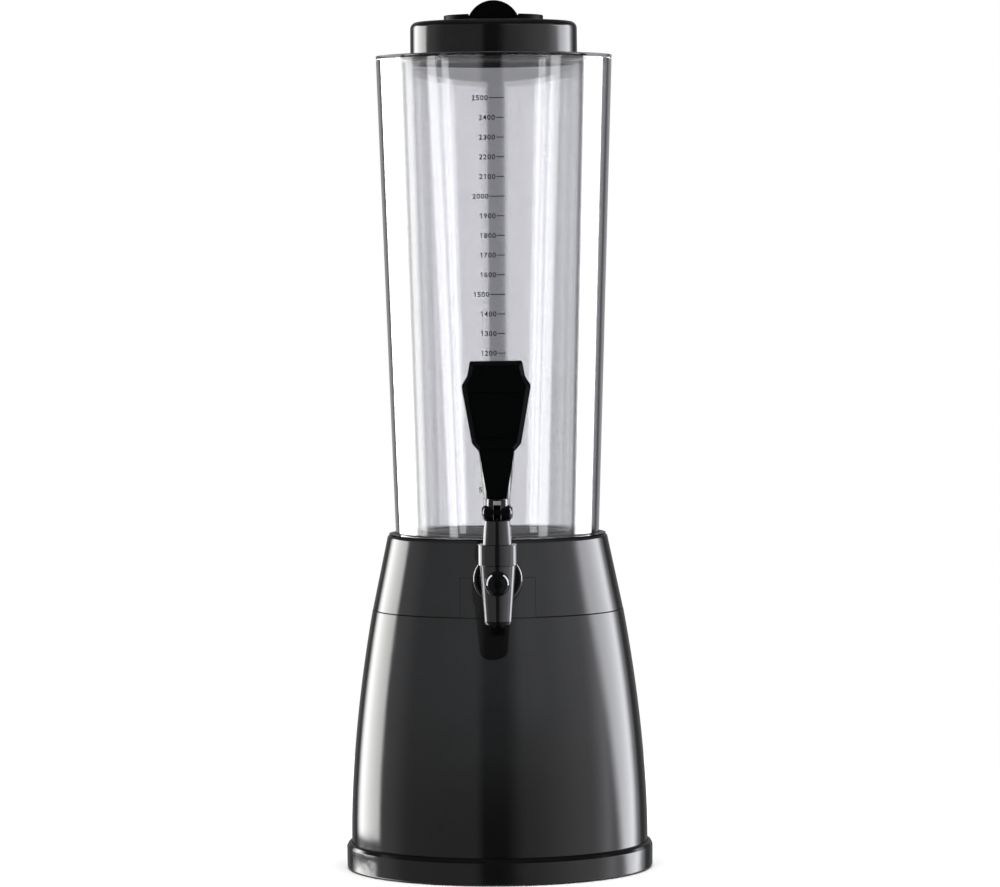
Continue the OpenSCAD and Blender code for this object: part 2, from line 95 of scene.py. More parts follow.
def shade(me, sharp=32.0):
    """Smooth faces, with edges sharper than that many degrees kept crisp."""
    bm = bmesh.new()
    bm.from_mesh(me)
    bmesh.ops.remove_doubles(bm, verts=bm.verts, dist=2e-7)
    bmesh.ops.dissolve_degenerate(bm, dist=2e-7, edges=bm.edges)
    bmesh.ops.recalc_face_normals(bm, faces=bm.faces)
    for f in bm.faces:
        f.smooth = True
    for e in bm.edges:
        e.smooth = not (len(e.link_faces) == 2 and e.calc_face_angle(0) > math.radians(sharp))
    bm.to_mesh(me)
    bm.free()
    me.update()


def make(name, bm, sharp=32.0):
    """An object in the scene from a bmesh in millimetres."""
    for v in bm.verts:
        v.co *= MM
    me = bpy.data.meshes.new(name)
    bm.to_mesh(me)
    bm.free()
    shade(me, sharp)
    ob = bpy.data.objects.new(name, me)
    bpy.context.scene.collection.objects.link(ob)
    return ob


def weigh(ob):
    """Normals that follow the large faces, so small roundings stay crisp."""
    m = ob.modifiers.new("weigh", "WEIGHTED_NORMAL")
    m.keep_sharp = True
    m.weight = 60
    return ob


def revolve(bm, pts, segs, place):
    rings = []
    for r, z in pts:
        if r < 1e-6:
            rings.append([bm.verts.new(place(0.0, 0.0, z))])
        else:
            rings.append([bm.verts.new(place(r * math.cos(2 * math.pi * i / segs), r * math.sin(2 * math.pi * i / segs), z)) for i in range(segs)])
    for i in range(len(rings)):
        a, b = rings[i], rings[(i + 1) % len(rings)]
        for j in range(segs):
            k = (j + 1) % segs
            if len(a) == 1 and len(b) == 1:
                break
            if len(a) == 1:
                bm.faces.new((a[0], b[j], b[k]))
            elif len(b) == 1:
                bm.faces.new((a[j], b[0], a[k]))
            else:
                bm.faces.new((a[j], b[j], b[k], a[k]))


def lathe(name, pts, segs=256, at=(0.0, 0.0), sharp=32.0):
    """A solid turned about an upright axis."""
    bm = bmesh.new()
    revolve(bm, pts, segs, lambda x, y, z: (x + at[0], y + at[1], z))
    return make(name, bm, sharp)


def lathe_y(name, pts, y, z0, segs=128, sharp=32.0):
    """A solid turned about an axis along -Y from (0, y, z0)."""
    bm = bmesh.new()
    revolve(bm, pts, segs, lambda a, b, h: (a, y - h, z0 + b))
    return make(name, bm, sharp)


def lathe_x(name, pts, x, y0, z0, segs=96, sharp=32.0):
    """A solid turned about an axis along +X from (x, y0, z0)."""
    bm = bmesh.new()
    revolve(bm, pts, segs, lambda a, b, h: (x + h, y0 + a, z0 + b))
    return make(name, bm, sharp)


def block(name, lo, hi):
    bm = bmesh.new()
    bmesh.ops.create_cube(bm, size=1.0)
    for v in bm.verts:
        v.co = Vector([lo[i] + (v.co[i] + 0.5) * (hi[i] - lo[i]) for i in range(3)])
    return make(name, bm)


def stack(name, sections, sharp=32.0):
    """A closed loft through sections, each a list of (x, y, z) of equal length."""
    bm = bmesh.new()
    rows = [[bm.verts.new(p) for p in s] for s in sections]
    n = len(rows[0])
    for a, b in zip(rows, rows[1:]):
        for j in range(n):
            bm.faces.new((a[j], a[(j + 1) % n], b[(j + 1) % n], b[j]))
    bm.faces.new(rows[0][::-1])
    bm.faces.new(rows[-1])
    return make(name, bm, sharp)


def settle(ob, sharp=32.0):
    """Applies the object's modifiers to its mesh."""
    bpy.context.view_layer.update()
    me = bpy.data.meshes.new_from_object(ob.evaluated_get(bpy.context.evaluated_depsgraph_get()))
    ob.modifiers.clear()
    ob.data = me
    me.name = ob.name
    shade(me, sharp)
    return ob


def boolean(ob, tools, op="DIFFERENCE", sharp=32.0):
    for t in tools:
        m = ob.modifiers.new("b", "BOOLEAN")
        m.operation, m.solver, m.object = op, "EXACT", t
        t.hide_render = True
    settle(ob, sharp)
    for t in tools:
        bpy.data.objects.remove(t)
    return ob


def soften(ob, width, segments=3, angle=35.0, sharp=40.0):
    """Rounds the crisp edges of a mesh that is cut already."""
    m = ob.modifiers.new("soften", "BEVEL")
    m.width, m.segments, m.limit_method = width * MM, segments, "ANGLE"
    m.angle_limit = math.radians(angle)
    m.use_clamp_overlap = True
    m.miter_outer = "MITER_ARC"
    settle(ob, sharp)
    return ob


# ------------------------------------------------------------------ materials


def material(name, color, roughness, metallic=0.0, ior=1.5, vary=0.0, rough_vary=0.0, scale=60.0, bumps=(), transmission=0.0, spots=None, stretch=None, coat=0.0, coat_roughness=0.1, tint=None, level=0.5):
    """A moulded or metal finish with object-space variation in colour, gloss and height."""
    m = bpy.data.materials.new(name)
    m.use_nodes = True
    nt = m.node_tree
    b = nt.nodes["Principled BSDF"]
    b.inputs["Base Color"].default_value = (*color, 1)
    b.inputs["Roughness"].default_value = roughness
    b.inputs["Metallic"].default_value = metallic
    b.inputs["IOR"].default_value = ior
    b.inputs["Transmission Weight"].default_value = transmission
    b.inputs["Specular IOR Level"].default_value = level
    if coat:
        b.inputs["Coat Weight"].default_value = coat
        b.inputs["Coat Roughness"].default_value = coat_roughness
    if tint is not None:
        b.inputs["Specular Tint"].default_value = (*tint, 1)
    tc = nt.nodes.new("ShaderNodeTexCoord")
    src = tc.outputs["Object"]
    if stretch:
        mp = nt.nodes.new("ShaderNodeMapping")
        mp.inputs["Scale"].default_value = stretch
        nt.links.new(src, mp.inputs["Vector"])
        src = mp.outputs["Vector"]

    def noise(s, detail=3.0, rough=0.55):
        n = nt.nodes.new("ShaderNodeTexNoise")
        n.inputs["Scale"].default_value = s
        n.inputs["Detail"].default_value = detail
        n.inputs["Roughness"].default_value = rough
        nt.links.new(src, n.inputs["Vector"])
        return n.outputs["Fac"]

    if vary:
        mix = nt.nodes.new("ShaderNodeMix")
        mix.data_type = "RGBA"
        lo = tuple(max(0.0, c * (1 - vary)) for c in color)
        hi = tuple(min(1.0, c * (1 + vary)) for c in color)
        mix.inputs[6].default_value = (*lo, 1)
        mix.inputs[7].default_value = (*hi, 1)
        nt.links.new(noise(scale), mix.inputs[0])
        nt.links.new(mix.outputs[2], b.inputs["Base Color"])
    if rough_vary:
        mr = nt.nodes.new("ShaderNodeMapRange")
        mr.inputs["From Min"].default_value = 0.3
        mr.inputs["From Max"].default_value = 0.7
        mr.inputs["To Min"].default_value = max(0.0, roughness - rough_vary)
        mr.inputs["To Max"].default_value = roughness + rough_vary
        nt.links.new(noise(scale * 0.6, 4.0), mr.inputs["Value"])
        nt.links.new(mr.outputs["Result"], b.inputs["Roughness"])
    last = None
    for s, strength, dist in bumps:
        bump = nt.nodes.new("ShaderNodeBump")
        bump.inputs["Strength"].default_value = strength
        bump.inputs["Distance"].default_value = dist
        nt.links.new(noise(s, 2.0), bump.inputs["Height"])
        if last:
            nt.links.new(last, bump.inputs["Normal"])
        last = bump.outputs["Normal"]
    if last:
        nt.links.new(last, b.inputs["Normal"])
    return m


GLOSS = material("moulded_gloss_black", (0.0022, 0.0023, 0.0024), 0.085, ior=1.42, vary=0.25, rough_vary=0.03, scale=45, bumps=((38, 0.10, 0.0006), (900, 0.04, 0.00005)))
FOOT = material("moulded_foot_black", (0.0022, 0.0023, 0.0024), 0.11, ior=1.42, vary=0.25, rough_vary=0.03, scale=60, bumps=((70, 0.16, 0.0006), (900, 0.05, 0.00005)))
LID = material("moulded_lid_black", (0.0022, 0.0022, 0.0023), 0.10, ior=1.42, vary=0.25, rough_vary=0.03, scale=70, bumps=((60, 0.08, 0.0005), (1000, 0.05, 0.00005)))
KNOB = material("moulded_knob_black", (0.0026, 0.0028, 0.0029), 0.30, ior=1.40, level=0.02, vary=0.25, rough_vary=0.05, scale=90, bumps=((1200, 0.10, 0.00006),))
PADDLE = material("satin_handle_black", (0.0014, 0.0017, 0.0018), 0.22, ior=1.30, level=0.12, vary=0.30, rough_vary=0.06, scale=120, bumps=((1400, 0.14, 0.00006), (90, 0.06, 0.0004)))
STEM = material("polished_stem_black", (0.0014, 0.0017, 0.0018), 0.14, ior=1.50, vary=0.30, rough_vary=0.04, scale=150, bumps=((900, 0.06, 0.00005),))
INSERT = material("satin_insert_black", (0.0014, 0.0017, 0.0018), 0.16, ior=1.30, level=0.12, vary=0.30, rough_vary=0.05, scale=150, bumps=((1600, 0.10, 0.00005),))
CAP = material("cap_gloss_black", (0.0014, 0.0016, 0.0017), 0.09, ior=1.40, level=0.16, vary=0.25, rough_vary=0.03, scale=150, bumps=((800, 0.06, 0.00005),))
INNER = material("moulded_inner_black", (0.010, 0.010, 0.0105), 0.38, ior=1.45, vary=0.30, rough_vary=0.07, scale=80, bumps=((700, 0.18, 0.00012),))
CHROME = material("black_chrome", (0.056, 0.056, 0.057), 0.075, metallic=1.0, vary=0.10, rough_vary=0.025, scale=90, bumps=((140, 0.05, 0.0003), (1300, 0.04, 0.00004)))
KNUCKLE = material("black_chrome_cast", (0.026, 0.026, 0.028), 0.12, metallic=1.0, vary=0.45, rough_vary=0.05, scale=520, bumps=((620, 0.16, 0.00014),))
STEEL = material("turned_steel", (0.50, 0.51, 0.53), 0.24, metallic=1.0, vary=0.08, rough_vary=0.06, scale=200, bumps=((1400, 0.10, 0.00004),), stretch=(1, 1, 9))
CLEAR = material("clear_styrene", (0.985, 0.986, 0.992), 0.0, ior=1.56, transmission=1.0, bumps=((16, 0.05, 0.0008),))
CLEAR_RIM = material("clear_styrene_rim", (0.97, 0.97, 0.98), 0.0, ior=1.0, transmission=1.0, bumps=((30, 0.05, 0.0004),))
# painted shade: an opaque dark finish for the clear shell's top edge, standing in for the dark line of shade seen
# along the rim
PAINTED_SHADE_EDGE = material("painted_shade_edge", (0.035, 0.035, 0.037), 0.35, ior=1.49, vary=0.2, rough_vary=0.05, scale=300, bumps=((900, 0.1, 0.00005),))
CLEAR_IN = material("clear_styrene_inner", (0.978, 0.979, 0.988), 0.0, ior=1.56, transmission=1.0, bumps=((20, 0.05, 0.0008),))
RUBBER = material("matt_rubber", (0.018, 0.018, 0.018), 0.62, ior=1.45, vary=0.25, rough_vary=0.08, scale=140, bumps=((900, 0.35, 0.00015),))
SILICONE = material("white_silicone", (0.62, 0.62, 0.60), 0.42, ior=1.43, vary=0.06, rough_vary=0.05, scale=160, bumps=((800, 0.15, 0.0001),))
SILICONE_RED = material("red_silicone", (0.42, 0.045, 0.03), 0.40, ior=1.43, vary=0.10, rough_vary=0.05, scale=160, bumps=((800, 0.15, 0.0001),))
INK = material("screen_ink", (0.008, 0.0085, 0.010), 0.55, ior=1.45, level=0.25, vary=0.25, rough_vary=0.05, scale=700, bumps=((2500, 0.2, 0.00003),))


def dress(ob, mat):
    ob.data.materials.clear()
    ob.data.materials.append(mat)
    return ob


def add(ob, mat, body, replaces=()):
    dress(ob, mat)
    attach(ob, body)
    if replaces:
        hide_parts(*replaces)
    return ob


# ------------------------------------------------------------------ base

foot = lathe("foot_ring_shell", rounded([
    (69, 0.7), (78, 0.7), (78, 2.6), (89, 2.6), (89, 0.7),
    (93.7, 0.7, 0.8), (93.88, 10.0), (93.85, 13.6, 0.5), (92.9, 15.5, 0.9), (91.5, 16.4, 0.4),
    (91.05, 16.38, 0.15), (91.05, 8), (86.5, 8), (86.5, 5), (69, 5)]), segs=360)
screws = []
for a in range(45, 360, 90):
    x, y = 74 * math.cos(math.radians(a)), 74 * math.sin(math.radians(a))
    screws.append(lathe("t", [(0, -1), (4.4, -1), (4.4, 3.6), (2.3, 3.6), (2.3, 9), (0, 9)], 32, (x, y)))
boolean(foot, screws)
add(weigh(foot), FOOT, "tower", ["foot_ring"])

bands = 96
zs = [8.2 + (158.45 - 8.2) * i / bands for i in range(bands + 1)]
outer = [(pedestal_r(z), z) for z in zs] + [(pedestal_r(158.65) - 0.22, 158.65)]
inner = [(pedestal_r(z) - 2.7, z) for z in reversed(zs) if z < 150]
pedestal = lathe("pedestal_shell_fine", outer + [
    (72.8, 158.65), (72.8, 162.6), (72.3, 163.1), (71.0, 163.1), (71.0, 158.7),
    (56, 158.7), (56, 155.7), (73.2, 155.7), (73.9, 152)] + inner, segs=360)
add(weigh(pedestal), GLOSS, "tower", ["pedestal_shell"])

# ------------------------------------------------------------------ collar


def collar_profile():
    t, w = 205.9, 2.7
    top = collar_r(t - 3.6)
    pts = [(collar_r(158.95) - w, 158.95), (collar_r(158.95) - 0.22, 158.95), (collar_r(159.2), 159.2)]
    pts += [(collar_r(159.2 + (t - 3.6 - 159.2) * i / 24), 159.2 + (t - 3.6 - 159.2) * i / 24) for i in range(1, 25)]
    # a rounded shoulder, then the flat top and the lip round the column
    for i in range(1, 13):
        a = math.radians(12 + (78 * i / 12))
        pts.append((top - 2.62 + 2.68 * math.cos(a), t - 3.5 - 0.56 + 2.95 * math.sin(a)))
    pts += [(66.4, t - 0.72), (64.0, t - 0.38), (63.3, t - 0.02), (62.95, t), (62.66, t - 0.14), (62.52, t - 0.42), (62.5, 196), (collar_r(196) - w, 196)]
    return pts


shelf = [(47.9, 188), (collar_r(188) - 2.1, 188), (collar_r(196) - 2.1, 196.0), (56, 196.0), (54, 194.2), (53.4, 194.2), (53.4, 191), (47.9, 191)]
collar = lathe("collar_wall", collar_profile(), segs=360)
deck = lathe("t_deck", shelf, segs=360)
boolean(deck, [block("t", (-12, -76, 170), (12, -36, 210))])
boolean(collar, [deck], "UNION")
boolean(collar, [
    block("t1", (-22.62, -90, 155), (22.62, -55, 182.62)),
    lathe_y("t2", [(0, 0), (8.3, 0), (8.3, 40), (0, 40)], -50, SHANK_Z, 96)])
add(weigh(collar), GLOSS, "tower", ["collar_shell"])

panel = lathe("panel_wall", [(collar_r(150) - 2.7, 150), (collar_r(150), 150), (collar_r(200), 200), (collar_r(200) - 2.7, 200)], segs=360)
boolean(panel, [block("t1", (-22.48, -90, 158.98), (22.48, -50, 182.46))], "INTERSECT")
boolean(panel, [lathe_y("t2", [(0, 0), (8.3, 0), (8.3, 40), (0, 40)], -50, SHANK_Z, 96)])
soften(panel, 0.22, 2)
add(weigh(panel), GLOSS, "tower", ["tap_panel"])

# ------------------------------------------------------------------ column

steps = [196.1 + (494.6 - 196.1) * i / 40 for i in range(41)]
column = lathe("clear_outer_shell", [(shell_r(196.1) - 2.6, 196.1), (shell_r(196.1), 196.1)]
               + [(shell_r(z), z) for z in steps[1:]]
               + [(shell_r(496.3), 496.3), (shell_r(496.7) - 0.12, 496.68), (shell_r(496.8) - 0.45, 496.8), (69.45, 496.8), (69.4, 496.75),
                  (69.4, 494.78), (shell_r(494.7) - 2.6, 494.7)]
               + [(shell_r(z) - 2.6, z) for z in reversed(steps[1:]) if z < 494.0], segs=384)
add(weigh(column), CLEAR, "tower", ["outer_shell"])

steps = [195.95 + (492.6 - 195.95) * i / 40 for i in range(41)]
vessel = lathe("clear_inner_vessel", [(vessel_r(z), z) for z in steps]
               + [(59.4, 492.6), (59.4, 494.9), (69.15, 494.9), (69.15, 496.8), (57.4, 496.8), (57.4, 494.6),
                  (vessel_r(492.6) - 1.8, 494.6), (vessel_r(492.6) - 2.2, 494.0)]
               + [(vessel_r(z) - 2.2, z) for z in reversed(steps) if z < 492.5], segs=384)
add(weigh(vessel), CLEAR_IN, "tower", ["inner_vessel"])
for ob, r0 in ((column, 0), (vessel, 0.0572)):    # the rim's round edge catches no light
    ob.data.materials.append(CLEAR_RIM)
    for f in ob.data.polygons:
        if f.center.z > 0.49465 and math.hypot(f.center.x, f.center.y) > r0:
            f.material_index = 1
column.data.materials.append(PAINTED_SHADE_EDGE)                # painted shade: its top edge gets an opaque dark finish that stands for the thin dark line of shade there
for f in column.data.polygons:
    if f.center.z > 0.4963 and math.hypot(f.center.x, f.center.y) > 0.0696:
        f.material_index = 2

# ------------------------------------------------------------------ printed scale


def on_shell(u, z, lift):
    r = shell_r(z) + lift
    return (r * math.sin(u / r), -r * math.cos(u / r), z)


PITCH = 2.56


def marks():
    """Ticks and numerals in ink on the outside of the clear shell."""
    bm = bmesh.new()

    def bar(u0, u1, z, h):
        n = 8
        rings = []
        for i in range(n + 1):
            u = u0 + (u1 - u0) * i / n
            rings.append([bm.verts.new(on_shell(u, z + dz, dl)) for dz, dl in ((-h / 2, 0.012), (-h / 2, 0.05), (h / 2, 0.05), (h / 2, 0.012))])
        for a, b in zip(rings, rings[1:]):
            for j in range(4):
                bm.faces.new((a[j], a[(j + 1) % 4], b[(j + 1) % 4], b[j]))
        bm.faces.new(rings[0][::-1])
        bm.faces.new(rings[-1])

    shapes = {}

    def digit(ch):
        """A digit's mesh points and faces, its height scaled to 3.1 and centred on x = 0."""
        if ch == "1":
            edge = [(0.0, -1.55), (0.44, -1.55), (0.44, 1.55), (0.06, 1.55), (-0.74, 0.96), (-0.74, 0.50), (0.0, 0.94)]
            m = len(edge)
            shapes[ch] = ([(x, y, h) for h in (-0.019, 0.019) for x, y in edge],
                          [list(range(m))[::-1], list(range(m, 2 * m))] + [[i, (i + 1) % m, m + (i + 1) % m, m + i] for i in range(m)])
        if ch not in shapes:
            cu = bpy.data.curves.new("n", "FONT")
            cu.body = ch
            cu.size = 4.3
            cu.extrude = 0.019
            cu.offset = 0.07
            cu.resolution_u = 4
            ob = bpy.data.objects.new("n", cu)
            bpy.context.scene.collection.objects.link(ob)
            bpy.context.view_layer.update()
            me = bpy.data.meshes.new_from_object(ob.evaluated_get(bpy.context.evaluated_depsgraph_get()))
            xs = [v.co.x for v in me.vertices]
            ys = [v.co.y for v in me.vertices]
            k = 3.1 / (max(ys) - min(ys))
            mx, my = (max(xs) + min(xs)) / 2, (max(ys) + min(ys)) / 2
            kx = 2.05 / (max(xs) - min(xs))
            shapes[ch] = ([((v.co.x - mx) * kx, (v.co.y - my) * k, v.co.z) for v in me.vertices],
                          [list(f.vertices) for f in me.polygons])
            bpy.data.objects.remove(ob)
            bpy.data.meshes.remove(me)
            bpy.data.curves.remove(cu)
        return shapes[ch]

    def number(word, right, z):
        for i, ch in enumerate(word):
            mid = right - 1.05 - PITCH * (len(word) - 1 - i)
            pts, faces = digit(ch)
            made = [bm.verts.new(on_shell(mid + x, z + y, 0.031 + w)) for x, y, w in pts]
            for f in faces:
                bm.faces.new([made[j] for j in f])

    for value in range(2500, 400, -100):
        z = 469.3 - (2500 - value) / 100 * 11.72
        long = value % 500 == 0
        left = -3.0 if long else 1.2
        bar(left, 5.7, z, 0.50)
        number(str(value), left - 0.7, z)
    return make("printed_scale", bm)


add(marks(), INK, "tower")

# ------------------------------------------------------------------ tap

ring = lathe_y("flange_ring", rounded([(8.05, 0), (14.75, 0), (14.75, 19.2, 1.5), (12.2, 19.2, 0.5), (11.4, 18.5, 0.6), (8.05, 18.5)]), -60, SHANK_Z, 160)
core = lathe("t_core", [(0, 140), (collar_r(140) + 0.8, 140), (collar_r(215) + 0.8, 215), (0, 215)], 360)
boolean(ring, [core])
add(weigh(ring), CHROME, "tower", ["tap_flange"])

H0 = 157.8
body = lathe("tap_spout", rounded([(0, H0), (7.7, H0, 0.3), (8.17, H0 + 1.3, 0.5), (8.224, H0 + 2.0), (10.78, 192.8, 0.25), (9.5, 192.8), (9.5, 198.9), (9.2, 199.2), (0, 199.2)]), 192, (0, TAP_Y))
rear = lathe_y("t1", rounded([(0, 0), (8.8, 0, 0.6), (8.8, 14), (0, 14)]), -91, SHANK_Z, 128)
front = lathe_y("t2", rounded([(0, 0), (7.55, 0), (7.55, 11.65, 0.55), (0, 11.65)]), TAP_Y, SHANK_Z, 128)
boolean(body, [rear, front], "UNION")
boolean(body, [
    lathe("t3", [(0, 150), (6.3, 150), (6.3, 168), (4.5, 168), (4.5, 172), (7, 172), (7, 202), (0, 202)], 96, (0, TAP_Y)),
    lathe_y("t4", [(0, 0), (6.55, 0), (6.55, 20.05), (4.5, 20.05), (4.5, 26), (0, 26)], -80, SHANK_Z, 96),
    lathe_y("t5", rounded([(0, 0), (6.0, 0), (6.0, 2.35), (6.78, 3.0, 0.2), (6.78, 20), (0, 20)]), TAP_Y - 8.6, SHANK_Z, 96)])
add(weigh(body), CHROME, "tower", ["tap_body"])
body.data.materials.append(CAP)     # painted shade: the outlet's lowest band takes the black cap finish, so its lip reads as the dark, shadowed mouth
for f in body.data.polygons:
    if f.center.z < 0.1596:
        f.material_index = 1

cap = lathe_y("spout_cap", rounded([(0, 0), (5.95, 0), (5.95, 3.05), (6.62, 3.1, 0.15), (6.66, 3.65), (5.86, 4.45), (5.5, 4.5), (3.0, 5.65, 3.0), (0.4, 5.93), (0, 5.93)]), TAP_Y - 8.65, SHANK_Z, 128)
add(weigh(cap), CAP, "tower", ["front_cap"])
cap.data.materials.append(KNUCKLE)  # its bevel is polished
for f in cap.data.polygons:
    if -0.9 < f.normal.y < -0.5 and math.hypot(f.center.x, f.center.z - SHANK_Z * MM) > 0.0058:
        f.material_index = 1

neck = lathe("tap_neck", rounded([(2.55, 194), (6.5, 194), (6.85, 194.4), (6.85, 200), (9.3, 200), (9.3, 203), (8.8, 203.05), (8.8, 205.4), (7.75, 219.2, 0.4), (7.2, 219.6, 0.2), (2.55, 219.6)]), 160, (0, TAP_Y))
add(weigh(neck), CHROME, "tower", ["bonnet"])

nut = lathe("tap_collar_nut", rounded([(9.55, 192.85), (11.6, 192.85, 0.35), (11.6, 205.2, 0.35), (8.95, 205.4), (8.95, 203.3), (9.55, 203.1)]), 192, (0, TAP_Y))
add(weigh(nut), CHROME, "tower", ["collar_nut"])

# fork: a barrel on the pin, its lobe in front and a round stem above
KH, KR = 9.15, 4.45
lobe = rounded([(0, 0), (2.6, 0, 0.2), (KR, 1.5, 1.9), (KR, 2 * KH - 1.5, 1.9), (2.6, 2 * KH, 0.2), (0, 2 * KH)])
fork = lathe_x("lever_fork_fine", lobe, -KH, TAP_Y, PIN_Z, 96)
lobe2 = lathe_x("t1", lobe, -KH, TAP_Y - 4.0, PIN_Z, 96)
web = block("t2", (-KH + 1.7, TAP_Y - 4.0, PIN_Z - KR), (KH - 1.7, TAP_Y, PIN_Z + KR))
stem = lathe("t3", rounded([(0, PIN_Z + 1.6), (8.0, PIN_Z + 1.6), (8.0, PIN_Z + 8.18, 0.2), (0, PIN_Z + 8.18)]), 128, (0, TAP_Y))
boolean(fork, [lobe2], "UNION")
boolean(fork, [web], "UNION")
boolean(fork, [stem], "UNION")
boolean(fork, [block("t4", (-2.35, TAP_Y - 20, PIN_Z - 20), (2.35, TAP_Y + 20, PIN_Z + 7.1)),
               lathe_x("t5", [(0, 0), (1.52, 0), (1.52, 40), (0, 40)], -20, TAP_Y, PIN_Z, 48)])
add(weigh(fork), KNUCKLE, "lever", ["lever_fork"])

# ------------------------------------------------------------------ handle

HZ = 313.6
D = 6.5


def outline(inset):
    """The paddle's outline seen from the front, as (x, z), corners rounded."""
    i = inset
    right = [(15.4 - i * 0.95, HZ - i, 1.5), (17.2 - i, 304.3 + i * 0.25, 1.0), (20.5 - i * 1.15, 299.0, 0.5), (14.5 - i, 264.8 + i * 0.35, 0.5), (10.8 - i * 0.6, 260.6 + i * 0.75, 0.4)]
    left = [(-x, z, f) for x, z, f in reversed(right)]
    return rounded(right + left)


def plate(inset, y):
    return [(x, y + TAP_Y, z) for x, z in outline(inset)]


paddle = stack("handle_paddle", [
    plate(2.6, -D), plate(2.35, -D + 0.12), plate(0.35, -D + 2.05), plate(0.0, -D + 2.5),
    plate(0.0, D - 2.5), plate(0.35, D - 2.05), plate(2.35, D - 0.12), plate(2.6, D)])


def stem_section(z):
    """The stem's section: flat front and back, sides round more towards the fork."""
    t = min(1.0, max(0.0, (260.9 - z) / (260.9 - 232.35)))
    half = 10.8 + (8.0 - 10.8) * t ** 0.95
    flat = 10.35 + (5.6 - 10.35) * t ** 1.05
    deep = 5.6
    s = half - flat
    rho = (deep * deep + s * s) / (2 * s)
    a = math.asin(min(1.0, deep / rho))
    arc = [(half - rho + rho * math.cos(-a + 2 * a * i / 12), rho * math.sin(-a + 2 * a * i / 12)) for i in range(13)]
    pts = arc + [(-x, -y) for x, y in arc]
    return [(x, y + TAP_Y, z) for x, y in pts]


stem = stack("t_stem", [stem_section(z) for z in [232.36 + (263.0 - 232.36) * i / 24 for i in range(25)]])
boolean(paddle, [stem], "UNION", sharp=24)


def trapezoid(i, y0, y1):
    p = rounded([(-16.4 + i, 295.4 - i, 0.5), (16.4 - i, 295.4 - i, 0.5), (11.6 - i, 268.0 + i, 0.5), (-11.6 + i, 268.0 + i, 0.5)])
    return [[(x, TAP_Y + y, z) for x, z in p] for y in (y0, y1)]


boolean(paddle, [stack("t6", trapezoid(0, -D - 2, -D + 0.8)),
                 lathe("t7", [(0, 231), (4.05, 231), (4.05, 258.5), (0, 258.5)], 64, (0, TAP_Y))], sharp=24)
add(weigh(paddle), PADDLE, "lever", ["handle"])
paddle.data.materials.append(STEM)      # the stem's round sides are polished
for f in paddle.data.polygons:
    if f.center.z < 0.262 and abs(f.normal.x) > 0.28 and abs(f.center.x) > 0.0045:
        f.material_index = 1

face = stack("handle_face", trapezoid(0.32, -D + 0.78, -D + 0.25)[:1] + [trapezoid(0.32, 0, -D + 0.42)[1], trapezoid(0.55, 0, -D + 0.26)[1]])
add(weigh(face), INSERT, "lever", ["handle_insert"])

# ------------------------------------------------------------------ lid

SEAT = 494.6
LT = 517.3
drum = [(50.0, 491.2), (52.2, 491.2, 0.12), (52.4, 491.5), (52.4, 492.0), (51.4, 492.0), (51.4, 494.0),
        (52.4, 494.0), (52.4, SEAT + 0.05), (57.0, SEAT + 0.05, 0.35), (57.0, SEAT + 2.75, 0.5), (50.9, SEAT + 2.75, 0.8),
        (50.85, LT, 4.2), (30, LT), (0, LT), (0, LT - 2.6), (48.4, LT - 2.6, 1.0), (48.4, SEAT + 4),
        (49.4, SEAT + 2.4), (49.4, 491.8)]
lid = lathe("lid_drum", rounded(drum), segs=360)
boolean(lid, [lathe("t1", [(0, 500), (5.06, 500), (5.06, 530), (0, 530)], 64),
              lathe("t2", [(0, 500), (2.2, 500), (2.2, 530), (0, 530)], 32, (-18, 0))])
add(weigh(lid), LID, "lid", ["lid_shell"])

Z0, TOP = LT + 0.08, LT + 3.9
dial = lathe("vent_dial", rounded([(0, Z0), (30.3, Z0, 0.3), (30.3, TOP, 0.6), (0, TOP)]), segs=256)
scoops = []
for y0, y1 in ((-40, -3.6), (3.6, 40)):
    prof = [(10.7 + 4.3 * math.sin(math.radians(a)), -3.1 * math.cos(math.radians(a))) for a in range(90, -1, -9)]
    prof += [(-10.7 - 4.3 * math.sin(math.radians(a)), -3.1 * math.cos(math.radians(a))) for a in range(0, 91, 9)]
    prof += [(-15, 2), (15, 2)]
    scoops.append(stack("t", [[(x, y, TOP + z) for x, z in prof] for y in (y0, y1)]))
boolean(dial, scoops)
GZ, GR = TOP + 9.27 - 16.45, 16.45
grip = lathe_y("t_grip", rounded([(0, 0), (GR, 0, 0.7), (GR, 7.2, 0.7), (0, 7.2)]), 3.6, GZ, 192)
boolean(grip, [block("t", (-20, -5, Z0 + 0.4), (20, 5, Z0 + 30))], "INTERSECT")
boolean(dial, [grip], "UNION")
boolean(dial, [lathe("t", [(0, 512.2), (5.0, 512.2), (5.0, Z0 + 0.6), (0, Z0 + 0.6)], 64)], "UNION")
boolean(dial, [lathe("t1", [(0, 511), (1.97, 511), (1.97, 519.2), (0, 519.2)], 32),
               block("t2", (-2, 12, Z0 - 1), (2, 42, Z0 + 1.2))])
add(weigh(dial), KNOB, "knob", ["vent_knob"])

# ------------------------------------------------------------------ carried-over CAD nodes

for names, mat in (
        (("non_slip_ring", "flange_gasket", "sump_washer", "vessel_gasket", "lid_seal"), RUBBER),
        (("base_plate", "sump_cup", "shank_nut"), INNER),
        (("base_screws", "collar_screws", "knob_screw", "valve_spring", "pivot_pin"), STEEL),
        (("valve_rod",), KNUCKLE),
        (("tap_shank",), CHROME),
        (("valve_seal",), SILICONE),
        (("bonnet_seal", "stem_o_ring"), SILICONE_RED)):
    for n in names:
        dress(nodes[n], mat)

# ------------------------------------------------------------------ studio


